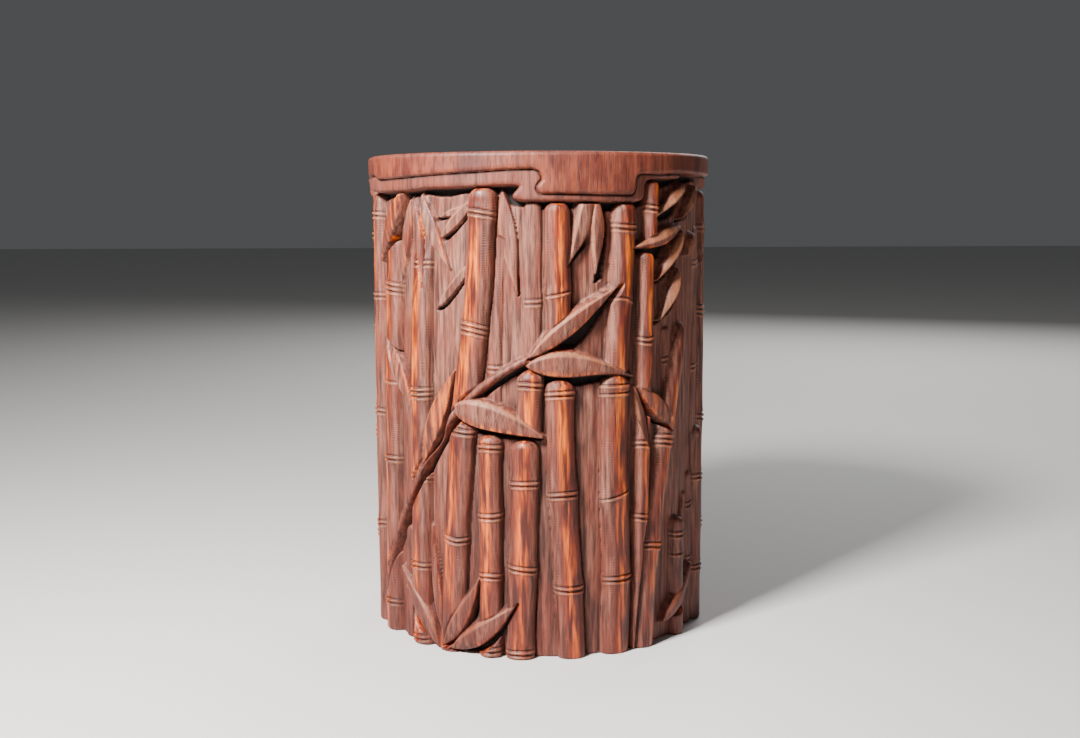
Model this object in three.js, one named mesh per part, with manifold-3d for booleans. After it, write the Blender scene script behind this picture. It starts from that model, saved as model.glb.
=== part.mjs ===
// A brush pot: a round hardwood cup whose outside is carved in relief with a bamboo grove
// under a draped band. The wall is one bored block. A round floor board is let into a rebate
// at its foot, and a plug closes the hole left at the board's centre.
//
// Millimetres, +Z up. The origin is the middle of the plane that the foot stands on.
// Angles on the wall are in degrees: 0 faces -Y, 90 faces +X.

import * as THREE from 'three';
import { mergeVertices } from 'three/addons/utils/BufferGeometryUtils.js';
import Module from 'manifold-3d';

// Driving dimensions
const HEIGHT = 150;
const RIM_RADIUS = 55;
const BORE_RADIUS = 45;
const BAND_HEIGHT = 5.8;
const BAND_COUNT = 3;
const LIP_EASE = 1;
const TAB_ANGLE = 15;
const APRON_ANGLE = -38;

// Radii of the carved layers, from the background outwards
const GROUND_RADIUS = RIM_RADIUS - 4.4;
const STALK_SEAT = GROUND_RADIUS + 0.5;
const APRON_RADIUS = RIM_RADIUS - 1.4;
const LAYOUT_RADIUS = RIM_RADIUS - 2;

// The floor
const FLOOR_THICKNESS = 8;
const FLOOR_RECESS = 2;
const REBATE_DEPTH = 2.5;
const PLUG_RADIUS = 10;
const PLUG_DOME = 0.8;
const GAP = 0.3;

// Relief of the carved members, measured from their seats
const STALK_RISE = 2.9;
const LOW_STALK_RISE = 1.4;
const STALK_SINK = 2;
const NODE_SWELL = 0.55;
const CROWN_HEIGHT = 1.5;
const LEAF_SEAT = LAYOUT_RADIUS;
const LEAF_RISE = 1.5;
const LEAF_SINK = 4;
const TWIG_HALF_WIDTH = 1.7;

const TURNED_SIDES = 48;
const STALK_SIDES = 6;
const LEAF_SIDES = 4;
const LEAF_STEPS = 3;
const TWIG_STEPS = 8;

// Stalks. Each route is [angle, height] from its lower end to its upper end; nodes are heights.
// The stalks that reach the foot start a little below it, and are trimmed flush with it.
const STALKS = [
  { route: [[-31, -1], [-30, 20], [-27.5, 50], [-24, 85], [-20.5, 110], [-18, 141]],
    halfWidth: 4.1, nodes: [36, 69.5, 99.5, 133] },
  { route: [[-17, -1], [-16.8, 68]], halfWidth: 3.6, nodes: [25.5, 43.5, 65] },
  { route: [[-15.5, 74], [-14, 112]], halfWidth: 2, nodes: [87.5], low: true },
  { route: [[-7, -1], [-6, 28], [-4.5, 60], [-2.5, 87]], halfWidth: 4.2, nodes: [28, 53.5, 83.5] },
  { route: [[-2.4, 84], [-2.2, 130]], halfWidth: 2.4, nodes: [107], low: true },
  { route: [[10.5, -1], [9.5, 22], [6.8, 60], [6.2, 84]], halfWidth: 4.4, nodes: [21.5, 50.5, 80] },
  { route: [[6.2, 90], [5.5, 140]], halfWidth: 3.7, nodes: [109.5] },
  { route: [[26, -1], [26.8, 24], [25.3, 60], [25.5, 85]], halfWidth: 4.6, nodes: [23.5, 49, 80] },
  { route: [[26, 87], [28, 115], [30, 140]], halfWidth: 3.9, nodes: [107.5, 128.5] },
  { route: [[35, 12], [36, 42], [37, 85], [38, 118], [40, 143]], halfWidth: 2.8, nodes: [41.5, 64, 95, 130] },
  { route: [[37.5, -1], [39, 20], [42, 40], [46, 60], [50, 76], [57, 97]], halfWidth: 3.9, nodes: [32, 64] },
  { route: [[49.5, 76], [49, 98]], halfWidth: 2.1, nodes: [88.5], low: true },
  { route: [[56, -1], [55.5, 38]], halfWidth: 2.7, nodes: [26.5, 33] },
  { route: [[69.5, -1], [69, 50]], halfWidth: 2.5, nodes: [22, 40], low: true },
  { route: [[76, -1], [77, 64]], halfWidth: 3.7, nodes: [18, 48] },
  { route: [[76, 61], [75, 126]], halfWidth: 3.3, nodes: [84, 117], low: true },
  { route: [[-44.5, -1], [-45, 25], [-44, 80], [-43, 130]], halfWidth: 3.8, nodes: [25.5, 53, 79, 118] },
  { route: [[-64.5, -1], [-62.5, 57], [-58, 124]], halfWidth: 4, nodes: [56.5, 81, 110.5] },
  { route: [[-77, -1], [-76.5, 70], [-76, 143]], halfWidth: 4, nodes: [33, 70, 107, 132.5] },
  { route: [[89, -1], [87, 70], [91, 143]], halfWidth: 4.2, nodes: [30, 66, 101, 128] },
  { route: [[112, -1], [114, 60], [119, 143]], halfWidth: 4.4, nodes: [24, 57, 92, 124] },
  { route: [[128, -1], [126, 70], [129, 120]], halfWidth: 3.6, nodes: [38, 73, 104] },
  { route: [[141, -1], [139, 50], [134, 143]], halfWidth: 3.9, nodes: [29, 63, 97, 126] },
  { route: [[163, -1], [160, 60], [152, 143]], halfWidth: 4.3, nodes: [33, 68, 101, 130] },
  { route: [[175, -1], [174, 70], [171, 143]], halfWidth: 3.7, nodes: [41, 77, 112] },
  { route: [[188, -1], [189, 60], [187, 143]], halfWidth: 4.4, nodes: [26, 60, 95, 127] },
  { route: [[213, -1], [215, 70], [219, 143]], halfWidth: 4.2, nodes: [35, 71, 106, 131] },
  { route: [[227, -1], [229, 80], [232, 126]], halfWidth: 3.7, nodes: [36, 72, 103] },
  { route: [[242, -1], [241, 70], [246, 143]], halfWidth: 4.3, nodes: [22, 58, 90, 122] },
  { route: [[255, -1], [257, 60], [259, 143]], halfWidth: 3.6, nodes: [45, 80, 115] },
  { route: [[270, -1], [271, 80], [269, 143]], halfWidth: 3.9, nodes: [27, 61, 96, 126] },
];

// Twigs: [angle, height] from the root outwards.
const TWIGS = [
  [[-66, 15], [-58, 31], [-46, 52], [-35, 67], [-27, 76], [-19, 82], [-8, 89.5], [-2, 90.5]],
  [[216, 34], [208, 52], [196, 66], [184, 74], [172, 84], [164, 96]],
  [[96, 60], [104, 74], [114, 84], [124, 96]],
];

// Leaves: base and tip as [angle, height], width, and how far the midrib bows to its left.
const LEAVES = [
  { base: [-1.5, 91], tip: [26.5, 111.5], width: 5, bow: 0.5 },
  { base: [-4, 88.5], tip: [31.5, 84.5], width: 7.5, bow: 2 },
  { base: [-28, 75], tip: [0.5, 67.5], width: 8, bow: 1.5 },
  { base: [-42, 58], tip: [-29, 86], width: 5.6, bow: 0.6 },
  { base: [-63, 94], tip: [-48.5, 72.5], width: 5, bow: 1 },
  { base: [36, 80], tip: [50.5, 66.5], width: 5, bow: 1 },
  { base: [-37, 1], tip: [-55.5, 22], width: 5.6, bow: -1.4 },
  { base: [-34, 2], tip: [-20.7, 23.5], width: 5, bow: -0.9 },
  { base: [-30, 2], tip: [-7.8, 17], width: 6, bow: -1.2 },
  { base: [46.5, 7], tip: [66, 20], width: 4.6, bow: -0.8 },
  { base: [-50, 139], tip: [-69, 119.5], width: 6.6, bow: 1.2 },
  { base: [-43, 139], tip: [-30.7, 117], width: 4.6, bow: -0.9 },
  { base: [-12, 139], tip: [-7.4, 109.5], width: 6, bow: 0.5 },
  { base: [14.5, 137], tip: [8.8, 117.5], width: 5.4, bow: 0.9 },
  { base: [19.5, 136], tip: [19, 115.5], width: 4.4, bow: 0 },
  { base: [54, 128.5], tip: [32, 122.3], width: 4.6, bow: 0.5 },
  { base: [54, 115], tip: [43, 101], width: 4.2, bow: 0.5 },
  { base: [160, 97], tip: [143, 116], width: 6.5, bow: 1.5 },
  { base: [166, 95], tip: [137, 90], width: 7, bow: -1.5 },
  { base: [186, 75], tip: [166, 62], width: 6, bow: -1 },
  { base: [124, 96], tip: [140, 80], width: 6, bow: 1 },
  { base: [180, 139], tip: [194, 112], width: 6.5, bow: 1 },
  { base: [224, 139], tip: [208, 118], width: 6, bow: -1 },
  { base: [226, 139], tip: [237, 108], width: 6, bow: 1 },
  { base: [97, 139], tip: [84, 117], width: 6, bow: -1 },
  { base: [127, 1], tip: [113, 26], width: 6.5, bow: 1 },
  { base: [129, 1], tip: [147, 20], width: 6.5, bow: 1 },
  { base: [246, 2], tip: [233, 27], width: 6, bow: 1 },
  { base: [248, 1], tip: [264, 23], width: 7, bow: 1 },
];

const wasm = await Module();
wasm.setup();

function toSolid(geometry) {
  geometry.deleteAttribute('normal');
  geometry.deleteAttribute('uv');
  const merged = mergeVertices(geometry);
  const vertProperties = merged.attributes.position.array;
  const triVerts = new Uint32Array(merged.index.array);
  return new wasm.Manifold(new wasm.Mesh({ numProp: 3, vertProperties, triVerts }));
}

function toGeometry(solid) {
  const mesh = solid.getMesh();
  const geometry = new THREE.BufferGeometry();
  geometry.setAttribute('position', new THREE.BufferAttribute(mesh.vertProperties, 3));
  geometry.setIndex(new THREE.BufferAttribute(mesh.triVerts, 1));
  geometry.computeVertexNormals();
  return geometry;
}

// A turned solid about Z, from [radius, height] points that start and end on the axis.
function turned(profile) {
  const points = profile.map(([radius, height]) => new THREE.Vector2(radius, height));
  return new THREE.LatheGeometry(points, TURNED_SIDES).rotateX(Math.PI / 2);
}

function disc(radius, bottom, top) {
  return turned([[0, bottom], [radius, bottom], [radius, top], [0, top]]);
}

// A place on the flattened wall: distance round it at the layout radius, and height.
function flat([degrees, height]) {
  return new THREE.Vector2(THREE.MathUtils.degToRad(degrees) * LAYOUT_RADIUS, height);
}

function onWall(round, height, radius) {
  const angle = round / LAYOUT_RADIUS;
  return [radius * Math.sin(angle), -radius * Math.cos(angle), height];
}

// A cylinder of a few sides bent along the wall. Each ring gives its centre on the flattened
// wall, its direction there, its seat radius, its half width and how far it rises and sinks.
function bentRod(rings, sides) {
  const last = rings.length - 1;
  const geometry = new THREE.CylinderGeometry(1, 1, 1, sides, last);
  const position = geometry.attributes.position;
  for (let i = 0; i < position.count; i += 1) {
    const ring = rings[Math.round((position.getY(i) + 0.5) * last)];
    const side = position.getX(i) * ring.halfWidth;
    const out = position.getZ(i);
    const radius = ring.seat + out * (out > 0 ? ring.rise : ring.sink);
    const round = ring.centre.x + side * ring.direction.y;
    const height = ring.centre.y - side * ring.direction.x;
    position.setXYZ(i, ...onWall(round, height, radius));
  }
  return geometry;
}

// Where a stalk's route passes at a height, straight between its points.
function routeAt(route, height) {
  const points = route.map(flat);
  const upper = Math.max(1, points.findIndex((point) => point.y >= height));
  const [below, above] = [points[upper - 1], points[upper]];
  const share = (height - below.y) / (above.y - below.y);
  return { centre: below.clone().lerp(above, share), direction: above.clone().sub(below).normalize() };
}

// A stalk: a half-sunk rod, widest at its nodes, waisted between them and drawn in at its top.
function stalk({ route, halfWidth, nodes, low = false }) {
  const rise = low ? LOW_STALK_RISE : STALK_RISE;
  const [bottom, top] = [route[0][1], route[route.length - 1][1]];
  const stations = [[bottom, 1]];
  let previous = bottom;
  for (const node of nodes) {
    stations.push([(previous + node) / 2, 1], [node, 1 + NODE_SWELL / halfWidth]);
    previous = node;
  }
  stations.push([top - CROWN_HEIGHT, 1], [top, 0.6]);
  const rings = stations.map(([height, swell]) => ({
    ...routeAt(route, height),
    seat: STALK_SEAT,
    halfWidth: halfWidth * swell,
    rise: rise * swell,
    sink: STALK_SINK,
  }));
  return bentRod(rings, STALK_SIDES);
}

// A leaf: a blade with a raised midrib and edges that stand clear of the background.
function leaf({ base, tip, width, bow }) {
  const [start, end] = [flat(base), flat(tip)];
  const along = end.clone().sub(start).normalize();
  const bowed = new THREE.Vector2(-along.y, along.x).multiplyScalar(2 * bow);
  const midrib = new THREE.QuadraticBezierCurve(start, start.clone().lerp(end, 0.5).add(bowed), end);
  const rings = [];
  for (let step = 0; step <= LEAF_STEPS; step += 1) {
    const share = step / LEAF_STEPS;
    const fullness = 0.12 + 0.88 * Math.sin(Math.PI * share ** 0.8);
    rings.push({
      centre: midrib.getPoint(share),
      direction: midrib.getTangent(share),
      seat: LEAF_SEAT,
      halfWidth: 0.5 * width * fullness,
      rise: LEAF_RISE * (0.4 + 0.6 * fullness),
      sink: LEAF_SINK,
    });
  }
  return bentRod(rings, LEAF_SIDES);
}

function twig(points) {
  const route = new THREE.SplineCurve(points.map(flat));
  const rings = [];
  for (let step = 0; step <= TWIG_STEPS; step += 1) {
    const share = step / TWIG_STEPS;
    rings.push({
      centre: route.getPoint(share),
      direction: route.getTangent(share),
      seat: LEAF_SEAT,
      halfWidth: TWIG_HALF_WIDTH,
      rise: LEAF_RISE,
      sink: LEAF_SINK,
    });
  }
  return bentRod(rings, LEAF_SIDES);
}

// A panel of the band: its outline, seen square on from outside, cut from a turned layer.
function panel(degrees, outline, layer) {
  const settings = { depth: RIM_RADIUS, bevelEnabled: false, curveSegments: 2 };
  const block = new THREE.ExtrudeGeometry(outline, settings);
  block.rotateX(Math.PI / 2).rotateZ(THREE.MathUtils.degToRad(degrees));
  return toSolid(block).intersect(layer);
}

// The band's tab: a wide tongue with hooked shoulders, in millimetres from its middle.
function tabOutline() {
  const top = HEIGHT - 4;
  const hem = HEIGHT - 12;
  const outline = new THREE.Shape();
  outline.moveTo(-16.3, top);
  outline.quadraticCurveTo(-13.3, top - 0.8, -13.3, top - 4);
  outline.quadraticCurveTo(-15, top - 6, -13.8, hem + 0.2);
  outline.lineTo(14.6, hem - 0.1);
  outline.quadraticCurveTo(15.5, hem, 15.5, top - 4);
  outline.quadraticCurveTo(15.8, top - 1.6, 18.4, top);
  return outline;
}

// The apron under the tab: the same tongue, a little wider and lower.
function apronTabOutline() {
  const top = HEIGHT - 6;
  const hem = HEIGHT - 14.3;
  const outline = new THREE.Shape();
  outline.moveTo(-18.6, top);
  outline.lineTo(-18.6, HEIGHT - 10);
  outline.quadraticCurveTo(-22.6, hem + 1, -17.2, hem + 0.2);
  outline.lineTo(15.4, hem);
  outline.quadraticCurveTo(18.9, hem, 18.9, hem + 2.5);
  outline.lineTo(18.9, top);
  return outline;
}

// The deep stretch of apron that runs from the tab's left shoulder to the next tab.
function apronOutline() {
  const top = HEIGHT - 6;
  const reach = 29;
  const outline = new THREE.Shape();
  outline.moveTo(-reach, top);
  outline.lineTo(-reach, HEIGHT - 10.6);
  outline.lineTo(reach, HEIGHT - 10);
  outline.lineTo(reach, top);
  return outline;
}

function band() {
  const bandLayer = toSolid(disc(RIM_RADIUS, 0, HEIGHT));
  const apronLayer = toSolid(disc(APRON_RADIUS, 0, HEIGHT));
  const apronTop = HEIGHT - BAND_HEIGHT;
  let solid = toSolid(disc(RIM_RADIUS, apronTop, HEIGHT));
  solid = solid.add(toSolid(disc(APRON_RADIUS, apronTop - 2, apronTop + 1)));
  for (let turn = 0; turn < BAND_COUNT; turn += 1) {
    const around = turn * (360 / BAND_COUNT);
    solid = solid.add(panel(around + TAB_ANGLE, tabOutline(), bandLayer));
    solid = solid.add(panel(around + TAB_ANGLE, apronTabOutline(), apronLayer));
    solid = solid.add(panel(around + APRON_ANGLE, apronOutline(), apronLayer));
  }
  return solid;
}

// What is left of the block after turning, with its lip eased.
function envelope() {
  const eased = HEIGHT - LIP_EASE;
  return turned([[0, 0], [RIM_RADIUS, 0], [RIM_RADIUS, eased], [RIM_RADIUS - LIP_EASE, HEIGHT], [0, HEIGHT]]);
}

// The bore, its eased mouth, and the rebate that takes the floor board from below.
function hollow() {
  const shoulder = FLOOR_RECESS + FLOOR_THICKNESS + GAP;
  const rebateRadius = BORE_RADIUS + REBATE_DEPTH;
  const profile = [[0, -1], [rebateRadius, -1], [rebateRadius, shoulder], [BORE_RADIUS, shoulder]];
  profile.push([BORE_RADIUS, HEIGHT - LIP_EASE], [BORE_RADIUS + 2 * LIP_EASE, HEIGHT + LIP_EASE]);
  profile.push([0, HEIGHT + LIP_EASE]);
  return turned(profile);
}

function carvedBody() {
  let solid = toSolid(disc(GROUND_RADIUS, 0, HEIGHT)).add(band());
  const relief = [...STALKS.map(stalk), ...LEAVES.map(leaf), ...TWIGS.map(twig)];
  for (const member of relief) {
    solid = solid.add(toSolid(member));
  }
  return toGeometry(solid.intersect(toSolid(envelope())).subtract(toSolid(hollow())));
}

// The round board that makes the floor, with the hole that its plug closes.
function floorBoard() {
  const outer = BORE_RADIUS + REBATE_DEPTH - GAP;
  const inner = PLUG_RADIUS + GAP;
  const top = FLOOR_RECESS + FLOOR_THICKNESS;
  const profile = [[inner, FLOOR_RECESS], [outer - 0.6, FLOOR_RECESS], [outer, FLOOR_RECESS + 0.6]];
  profile.push([outer, top], [inner, top], [inner, FLOOR_RECESS]);
  return turned(profile);
}

// The plug: a short round peg with a slightly domed underside.
function floorPlug() {
  const top = FLOOR_RECESS + FLOOR_THICKNESS;
  const profile = [[0, FLOOR_RECESS - PLUG_DOME]];
  for (const share of [0.35, 0.7]) {
    profile.push([PLUG_RADIUS * share, FLOOR_RECESS - PLUG_DOME * (1 - share ** 2)]);
  }
  profile.push([PLUG_RADIUS, FLOOR_RECESS], [PLUG_RADIUS, top], [0, top]);
  return turned(profile);
}

function named(name, geometry, material) {
  const mesh = new THREE.Mesh(geometry, material);
  mesh.name = name;
  return mesh;
}

const carvedWood = new THREE.MeshStandardMaterial({ color: 0x7a3a24, roughness: 0.42, metalness: 0 });
const boardWood = new THREE.MeshStandardMaterial({ color: 0x5c2c1e, roughness: 0.6, metalness: 0 });
const plugWood = new THREE.MeshStandardMaterial({ color: 0x4a2318, roughness: 0.55, metalness: 0 });

const brushPot = new THREE.Group();
brushPot.add(named('carved_body', carvedBody(), carvedWood));
brushPot.add(named('floor_board', floorBoard(), boardWood));
brushPot.add(named('floor_plug', floorPlug(), plugWood));

export default brushPot;
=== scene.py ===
"""The looks of a carved hardwood brush pot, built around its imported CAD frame.

The wall is one fine closed mesh. Its outside is a height field, laid up member by member as a
carver would: background, stalks, twigs, leaves, and the draped band over them. Lengths in the
carving are millimetres and angles are degrees, 0 facing the camera and 90 to its right.
"""

import math
from dataclasses import dataclass

import bpy
import numpy as np
from mathutils import Euler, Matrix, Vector


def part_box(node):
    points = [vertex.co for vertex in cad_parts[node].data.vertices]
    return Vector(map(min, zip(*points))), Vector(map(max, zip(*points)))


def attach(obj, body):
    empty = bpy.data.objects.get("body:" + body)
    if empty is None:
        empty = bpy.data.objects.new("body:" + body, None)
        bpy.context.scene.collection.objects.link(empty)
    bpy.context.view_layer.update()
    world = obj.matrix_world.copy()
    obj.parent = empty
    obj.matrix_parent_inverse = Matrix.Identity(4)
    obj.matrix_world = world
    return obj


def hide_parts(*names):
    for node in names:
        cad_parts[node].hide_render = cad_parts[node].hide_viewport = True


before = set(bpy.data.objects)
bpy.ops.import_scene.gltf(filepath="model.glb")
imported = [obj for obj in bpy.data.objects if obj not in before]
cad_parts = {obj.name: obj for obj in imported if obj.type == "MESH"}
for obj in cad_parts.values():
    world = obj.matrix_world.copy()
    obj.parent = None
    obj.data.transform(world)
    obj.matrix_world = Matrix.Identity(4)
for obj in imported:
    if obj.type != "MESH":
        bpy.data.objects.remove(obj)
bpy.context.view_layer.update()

MM = 0.001
BODY_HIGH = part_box("carved_body")[1] / MM
BOARD_LOW, BOARD_HIGH = (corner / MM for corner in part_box("floor_board"))
PLUG_LOW, PLUG_HIGH = (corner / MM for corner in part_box("floor_plug"))

# Sizes from the frame
HEIGHT = BODY_HIGH.z
RIM_RADIUS = BODY_HIGH.x
BORE_RADIUS = RIM_RADIUS - 10
FIT_GAP = 0.3
REBATE_RADIUS = BOARD_HIGH.x + FIT_GAP
SHOULDER_HEIGHT = BOARD_HIGH.z + FIT_GAP

# Layers of the carving, as radii
LAYOUT_RADIUS = RIM_RADIUS - 2
BAND_LEVEL = RIM_RADIUS - 0.05
APRON_LEVEL = RIM_RADIUS - 1.35
LEAF_LEVEL = RIM_RADIUS - 2.0
GROUND_LEVEL = RIM_RADIUS - 4.3
DEEP_LEVEL = GROUND_LEVEL - 1.7
STALK_SEAT = GROUND_LEVEL + 0.1

STALK_RISE = 3.2
LOW_RISE = 0.95
WALL_SLOPE = 6.0
LIP_EASE = 1.2
LIP_DIP = 0.12
MOUTH_EASE = 1.8
BORE_TOP = HEIGHT - LIP_DIP - MOUTH_EASE
EASE_TURNS = np.radians([22, 45, 68, 90])

COLUMNS = 1332
ROW_STEP = 0.25
SEED = 7

# Away from the light on the unrolled wall: to the right and down
SHADED = np.array([0.6, -0.8])


@dataclass
class Stalk:
    """A bamboo stalk. Its route and nodes run upwards. A node is its height and its number of cut
    rings, and may add their tilt and their curve. The head is the length of its rounded top, as a
    share of its width, and fade the stretch under the top over which it sinks into the ground."""

    route: list
    width: float
    nodes: list
    low: bool = False
    head: float = 0.8
    fade: float = 0.1


@dataclass
class Leaf:
    """A leaf from base to tip. Belly is the share of its length where it is widest, and taper draws
    in its ends. Recess and gap are the cuts under its shaded edge, before and after the stalks are
    laid. Level raises or sinks it. Rise is the height of its ridge over its edges, and ridge is
    where that runs, from -1 at the lit edge to 1 at the shaded one. Ramp is how steeply the ground
    climbs to the lit edge, and worn how far the whole face is rubbed. A blunt gap widens towards
    the tip."""

    base: tuple
    tip: tuple
    width: float
    bow: float = 0.0
    gap: float = 1.0
    level: float = 0.0
    recess: float = 0.0
    belly: float = 0.4
    taper: float = 1.3
    rise: float = 1.1
    ramp: float = 3.2
    ridge: float = -0.65
    worn: float = 0.0
    blunt: bool = False


LOW_STALKS = [
    Stalk([(-15.5, 70), (-14, 126)], 2.2, [(87.5, 2)], low=True, fade=25),
    Stalk([(-2.4, 80), (-2.2, 136)], 2.6, [(107, 2)], low=True),
    Stalk([(3.4, 86), (3.4, 93.6)], 1.9, [], low=True, head=1.4),
    Stalk([(49.5, 76), (49, 98)], 2.1, [(88.5, 2)], low=True),
    Stalk([(58.5, 26), (60, 38), (64, 44.5)], 1.3, [], low=True),
    Stalk([(69.5, 0), (69, 50)], 2.4, [(22, 2), (40, 2)], low=True),
    Stalk([(-53, 0), (-52, 36)], 2.0, [(17, 1)], low=True),
    Stalk([(-70.5, 22), (-69.5, 92)], 1.6, [(60, 1)], low=True),
    Stalk([(76, 60), (75, 128)], 3.4, [(84, 2), (117, 2)], low=True),
    Stalk([(101, 0), (103, 80), (102, 118)], 2.9, [(12, 2), (44, 2), (80, 2)], low=True),
    Stalk([(151, 0), (152, 66)], 2.8, [(16, 2), (47, 2)], low=True),
    Stalk([(201, 0), (203, 70), (202, 120)], 3.0, [(14, 2), (49, 2), (84, 2)], low=True),
    Stalk([(180, 88), (180.5, 130)], 2.2, [(109, 1)], low=True),
    Stalk([(251, 60), (251, 110)], 1.8, [(83, 1)], low=True),
]

STALKS = [
    Stalk([(35, 0), (36, 42), (37, 85), (37.5, 121)], 2.9, [(41.5, 2), (64, 2), (95, 2, 0.1, 0.08)]),
    Stalk([(39, 121), (40, 150)], 2.6, [(134, 2)]),
    Stalk([(56, 0), (55.5, 38)], 2.8, [(26.5, 1), (33, 2)]),
    Stalk([(76, 0), (77, 64)], 3.8, [(18, 2), (48, 2)]),
    Stalk([(-17, 0), (-16.8, 67.6)], 3.6, [(2.5, 2), (25.5, 2), (43.5, 2), (64.4, 2)]),
    Stalk([(-7, 0), (-6, 28), (-4.9, 66.3)], 4.3, [(2.2, 2), (28, 2, -0.1), (53.7, 2)]),
    Stalk([(-4.0, 67.6), (-3, 87)], 3.9, [(83, 2, -0.05)]),
    Stalk([(6.2, 88), (5.5, 150)], 3.9, [(109.5, 1, 0.22)]),
    Stalk([(10.5, 0), (9.5, 22), (6.8, 60), (6.4, 84.2)], 4.4, [(21.7, 2), (50.5, 2), (80.4, 2)]),
    Stalk([(26, 86), (28, 115), (30, 150)], 4.1, [(108, 1, -0.16, -0.05), (128.5, 2)]),
    Stalk([(26, 0), (26.8, 24), (25.3, 60), (25.6, 85)], 4.8,
          [(23.7, 2), (49, 1, 0.28), (79.8, 1), (82.3, 1)]),
    Stalk([(37.5, 0), (39, 20), (42, 40), (46, 60), (50, 76), (57, 99)], 3.9,
          [(32, 2), (64, 3, -0.12)], head=3.6),
    Stalk([(-44.5, 0), (-45, 25), (-44, 80), (-43, 134)], 3.9,
          [(2.5, 2), (25.5, 2), (53, 2), (79, 3), (118, 2)], fade=34),
    Stalk([(-64.5, 0), (-62.5, 57), (-58, 126)], 4.1, [(10, 2), (56.7, 2), (81, 1), (110.5, 3, -0.12)]),
    Stalk([(-77, 0), (-76.5, 70), (-76, 150)], 4.1, [(33, 2), (70, 2), (107, 2), (132.5, 2)]),
    Stalk([(-32, 0), (-30.5, 20), (-28.5, 50), (-26.3, 71.5)], 4.3,
          [(35.5, 2, -0.16, 0.04), (68.6, 2, -0.12)]),
    Stalk([(-27, 72.5), (-24, 85), (-20.5, 110), (-18, 150)], 4.4, [(99.5, 3, -0.2), (133, 2, -0.16)]),
    Stalk([(89, 0), (87, 70), (91, 150)], 4.2, [(30, 2), (66, 2), (101, 3), (128, 2)]),
    Stalk([(128, 0), (126, 70), (129, 122)], 3.7, [(6, 2), (38, 2), (73, 2), (104, 2)]),
    Stalk([(112, 0), (114, 60), (119, 150)], 4.4, [(24, 2), (57, 3), (92, 2), (124, 2)]),
    Stalk([(141, 0), (139, 50), (134, 150)], 3.9, [(29, 2), (63, 2), (97, 2), (126, 2)]),
    Stalk([(175, 0), (174, 70), (171, 150)], 3.8, [(8, 2), (41, 2), (77, 2), (112, 2)]),
    Stalk([(163, 0), (160, 60), (152, 150)], 4.3, [(33, 2), (68, 2), (101, 3), (130, 2)]),
    Stalk([(188, 0), (189, 60), (187, 150)], 4.4, [(26, 2), (60, 2), (95, 2), (127, 2)]),
    Stalk([(227, 0), (229, 80), (232, 128)], 3.8, [(5, 2), (36, 2), (72, 2), (103, 2)]),
    Stalk([(213, 0), (215, 70), (219, 150)], 4.2, [(35, 3), (71, 2), (106, 2), (131, 2)]),
    Stalk([(255, 0), (257, 60), (259, 150)], 3.7, [(12, 2), (45, 2), (80, 2), (115, 2)]),
    Stalk([(242, 0), (241, 70), (246, 150)], 4.3, [(22, 2), (58, 2), (90, 2), (122, 3)]),
    Stalk([(270, 0), (271, 80), (269, 150)], 3.9, [(27, 2), (61, 2), (96, 2), (126, 2)]),
]

TWIGS = [
    [(-66, 14), (-62, 25), (-52, 41), (-40, 60), (-30, 72.5), (-19, 82), (-8, 88.8), (-0.5, 91.5)],
    [(216, 34), (208, 52), (196, 66), (184, 74), (172, 84), (164, 96)],
    [(96, 60), (104, 74), (114, 84), (124, 96)],
]


def flush_leaf(base, tip, width, gap):
    """A leaf cut nearly level with the ground, which stands out by the gap under it."""
    return Leaf(base, tip, width, 0.1, gap, level=-2.0, belly=0.5, taper=0.6, rise=0.15, blunt=True)


def sliver(base, tip, width, bow, level, rise):
    """A narrow leaf over the deep cut that is painted dark as shade, with a high ridge towards its shaded
    edge.
    """
    return Leaf(base, tip, width, bow, 2.0, level, recess=4.5, rise=rise, ramp=9.0, ridge=0.4)


FLUSH_LEAVES = [
    Leaf((-26, 134), (-35.5, 131.2), 1.6, 0.1, gap=1.0, level=-2.0, rise=0.1, blunt=True),
    flush_leaf((-22, 136.5), (-34.5, 125.6), 3.0, gap=1.5),
    flush_leaf((-23, 118), (-36, 105), 2.6, gap=1.4),
    Leaf((-12, 138.5), (-7.2, 109), 5.0, -0.4, gap=0.6, level=-1.75, rise=0.3, blunt=True),
]

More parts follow.
